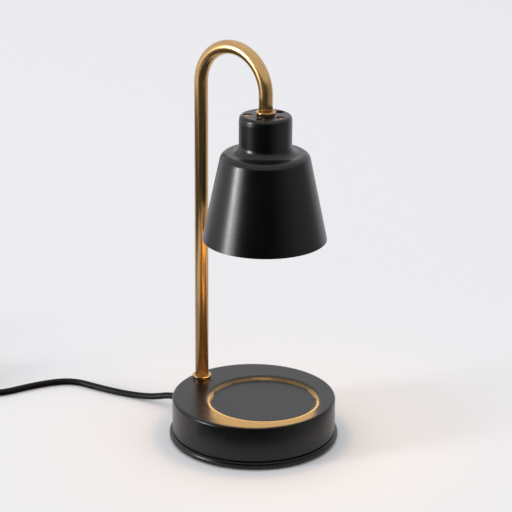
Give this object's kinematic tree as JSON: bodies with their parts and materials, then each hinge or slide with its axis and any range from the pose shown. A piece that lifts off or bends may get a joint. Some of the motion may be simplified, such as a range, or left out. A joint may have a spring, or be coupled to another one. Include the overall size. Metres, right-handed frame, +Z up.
{
  "type": "candle warmer lamp",
  "caption": "Table lamp that warms a jar candle: weighted round base with a shallow dish, bent brass tube, black downward shade with a reflector bulb, cord with rotary dimmer and plug.",
  "frame": {"origin": "middle of the base, on the surface that its feet stand on", "axes": "+Z up; the tube's foot is at -X and the shade's axis at +X, both in the XZ plane; the cord leaves the base towards -X"},
  "size_m": [0.438, 0.1755, 0.297],
  "materials": {
    "black_steel": "satin black powder coat",
    "shade_steel": "satin black powder coat",
    "satin_brass": "satin, lacquered",
    "turned_brass": "turned bright",
    "foot_foam": "matt closed-cell foam",
    "raw_iron": "as cast",
    "zinc_steel": "zinc plated",
    "bush_nylon": "matt natural",
    "steatite": "glazed ceramic",
    "contact_brass": "stamped",
    "reflector_glass": "pressed glass, mirror coated inside",
    "lens_glass": "clear",
    "burner_quartz": "clear quartz",
    "pin_nickel": "nickel plated",
    "lead_brown": "silicone, brown",
    "lead_blue": "silicone, blue",
    "core_insulation": "smooth",
    "terminal_plastic": "matt natural",
    "cord_black": "satin black",
    "relief_black": "matt black",
    "dimmer_plastic": "fine matt texture",
    "wheel_plastic": "semi-gloss",
    "board_green": "solder mask",
    "board_part": "matt",
    "potentiometer_case": "plated",
    "tie_wire": "matt black",
    "plug_pvc": "satin black",
    "blade_nickel": "nickel plated"
  },
  "bodies": {
    "lamp": {"base_cap": "black_steel", "base_cover": "black_steel", "feet": "foot_foam", "ballast": "raw_iron", "cap_posts": "zinc_steel", "cover_screws": "zinc_steel", "tube": "satin_brass", "foot_collar": "turned_brass", "neck_collar": "turned_brass", "foot_washer": "zinc_steel", "foot_spring_washer": "zinc_steel", "foot_nut": "zinc_steel", "tube_bush": "bush_nylon", "shade": "shade_steel", "neck_washer": "zinc_steel", "holder_bracket": "zinc_steel", "neck_nut": "zinc_steel", "bracket_screws": "zinc_steel", "lampholder": "steatite", "contact_clips": "contact_brass", "lead_live": "lead_brown", "lead_neutral": "lead_blue", "mains_cores": "core_insulation", "inner_cable": "cord_black", "cord_clamp": "terminal_plastic", "clamp_screws": "zinc_steel", "terminal_block": "terminal_plastic", "terminal_inserts": "contact_brass", "terminal_screws": "zinc_steel", "strain_relief": "relief_black", "cord_lamp_side": "cord_black", "dimmer_bottom_shell": "dimmer_plastic", "dimmer_top_shell": "dimmer_plastic", "dimmer_board": "board_green", "dimmer_board_parts": "board_part", "dimmer_potentiometer": "potentiometer_case", "dimmer_strain_reliefs": "relief_black", "dimmer_screws": "zinc_steel", "cord_lead_in": "cord_black", "cord_coil": "cord_black", "cord_tie": "tie_wire", "cord_tail": "cord_black", "plug_body": "plug_pvc", "plug_blades": "blade_nickel"},
    "bulb": {"bulb_reflector": "reflector_glass", "bulb_front_lens": "lens_glass", "bulb_capsule": "burner_quartz", "bulb_base": "steatite", "bulb_pins": "pin_nickel"},
    "dimmer_knob": {"dimmer_wheel": "wheel_plastic", "dimmer_spindle": "zinc_steel"}
  },
  "joints": [
    {"name": "bulb_twist", "type": "hinge", "parent": "lamp", "child": "bulb", "pos_m": [0.009, 0, 0.2127], "axis": [0, 0, -1], "range_deg": [0, 40]},
    {"name": "dimmer_turn", "type": "hinge", "parent": "lamp", "child": "dimmer_knob", "pos_m": [-0.2741, -0.102, 0.0083], "axis": [0, 0, 1], "range_deg": [-270, 0]}
  ]
}
